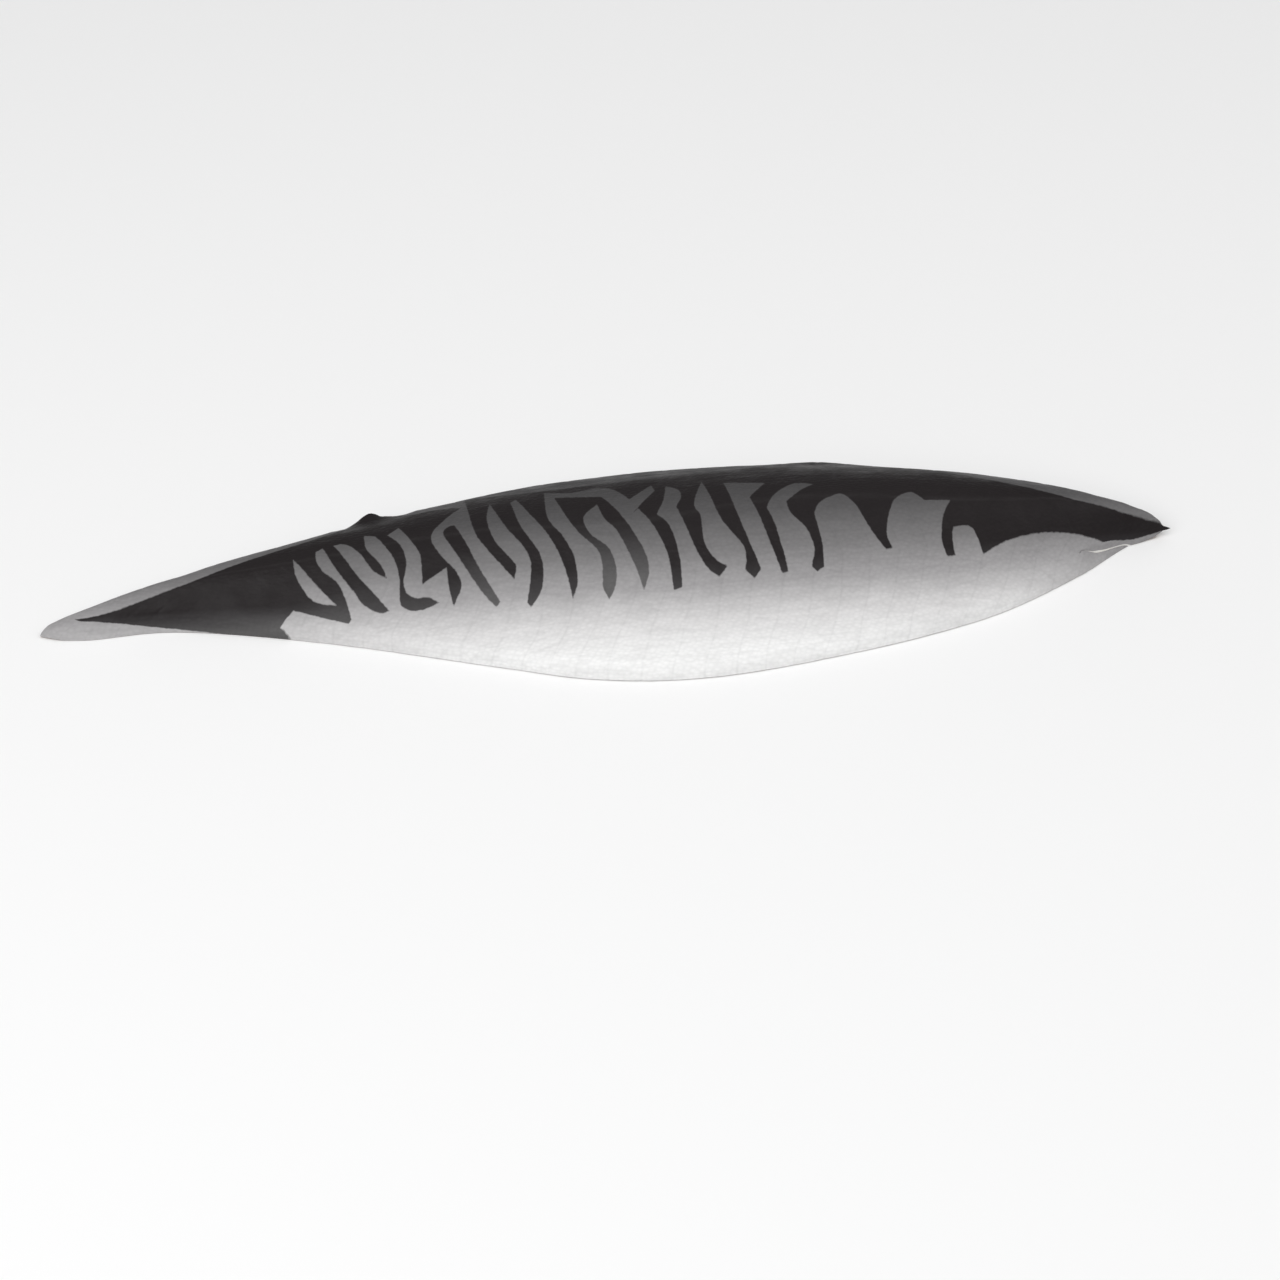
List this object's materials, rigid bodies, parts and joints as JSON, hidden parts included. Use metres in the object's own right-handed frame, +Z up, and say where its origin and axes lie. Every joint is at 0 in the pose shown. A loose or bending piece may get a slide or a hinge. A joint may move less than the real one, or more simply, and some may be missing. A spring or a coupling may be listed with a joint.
{
  "type": "smoked mackerel fillet",
  "caption": "Smoked mackerel fillet lying skin side up, pointed at both ends, with dark bars over a silver flank and tan flesh underneath.",
  "frame": {"origin": "under the middle of the fillet, on the plane its flesh side rests on", "axes": "+X from the tail end to the shoulder end, +Y from the belly edge to the back edge, +Z up out of the skin"},
  "size_m": [0.236, 0.0568, 0.019],
  "materials": {
    "skin": "oily satin skin, near-black bars and back over a grey to white flank",
    "flesh": "moist smoked flesh, tan with dark brown along the back"
  },
  "bodies": {
    "root": {"fillet": "skin"}
  },
  "joints": []
}
